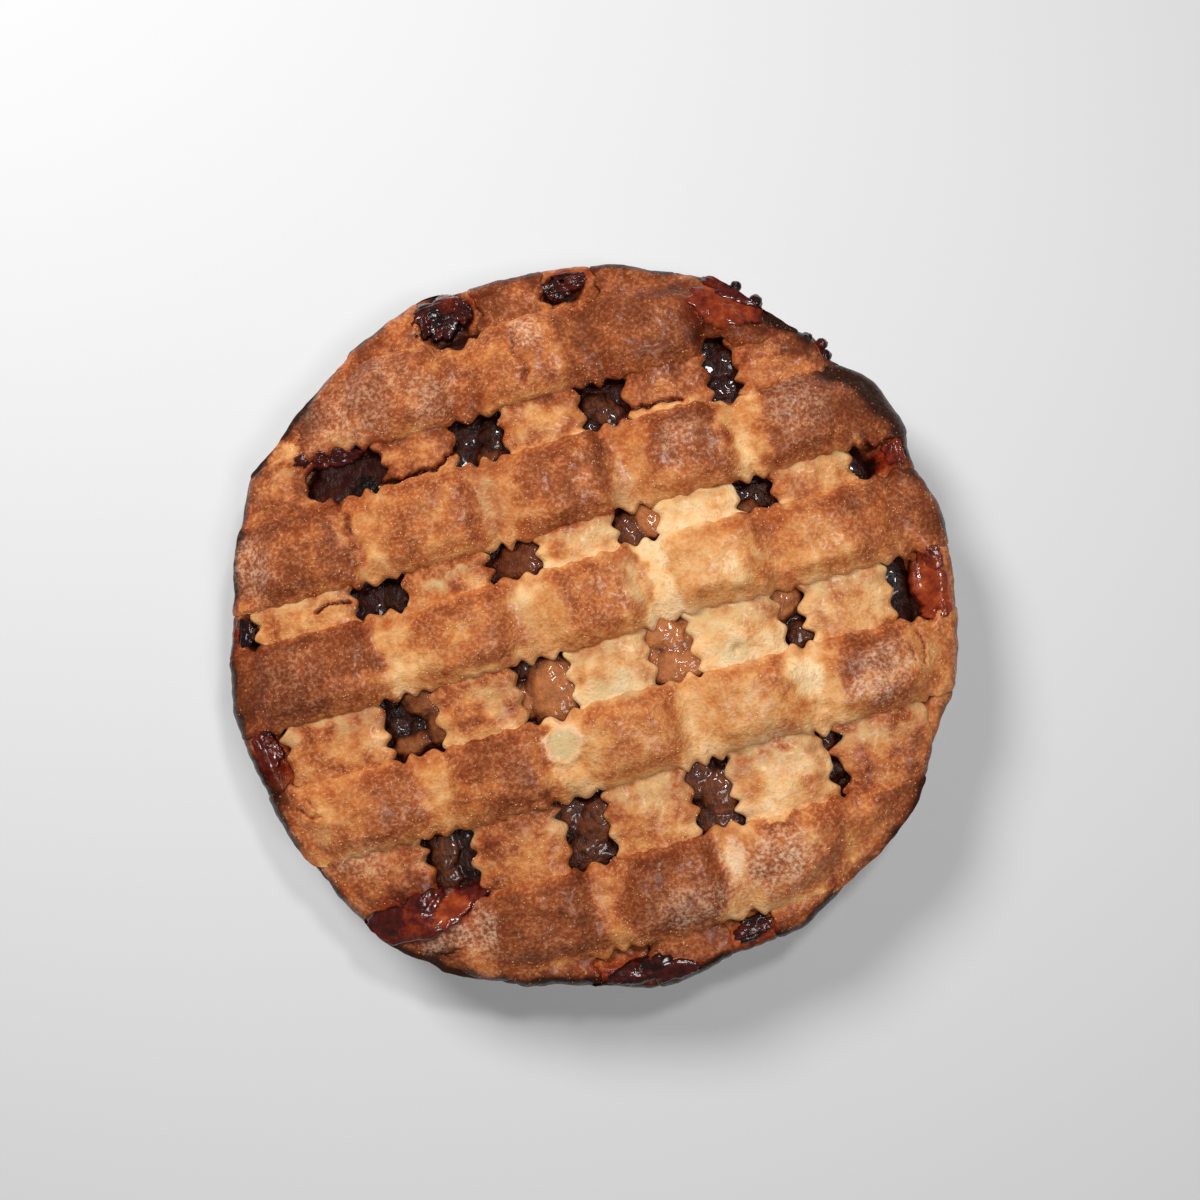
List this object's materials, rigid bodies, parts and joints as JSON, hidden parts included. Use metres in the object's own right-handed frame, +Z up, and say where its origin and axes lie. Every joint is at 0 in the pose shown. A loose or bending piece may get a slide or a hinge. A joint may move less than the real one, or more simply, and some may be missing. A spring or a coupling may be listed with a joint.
{
  "type": "lattice apple pie",
  "caption": "Large round apple pie with a woven-look lattice of fluted pastry strips over dark glossy fruit, in a shallow foil tin.",
  "frame": {"origin": "centre of the tin's underside, on the surface that the pie stands on", "axes": "+Z up; +X along the upper strips of the lattice, +Y along the lower strips"},
  "size_m": [0.3086, 0.3098, 0.0592],
  "materials": {
    "crust": "baked pastry, pale cream to dark brown, sugared",
    "filling": "baked apple in dark glossy syrup",
    "foil": "pressed foil, creased at the rim"
  },
  "bodies": {
    "root": {"foil_tin": "foil", "pastry_case": "crust", "apple_filling": "filling", "under_strip_1": "crust", "under_strip_2": "crust", "under_strip_3": "crust", "under_strip_4": "crust", "under_strip_5": "crust", "over_strip_1": "crust", "over_strip_2": "crust", "over_strip_3": "crust", "over_strip_4": "crust", "over_strip_5": "crust"}
  },
  "joints": []
}
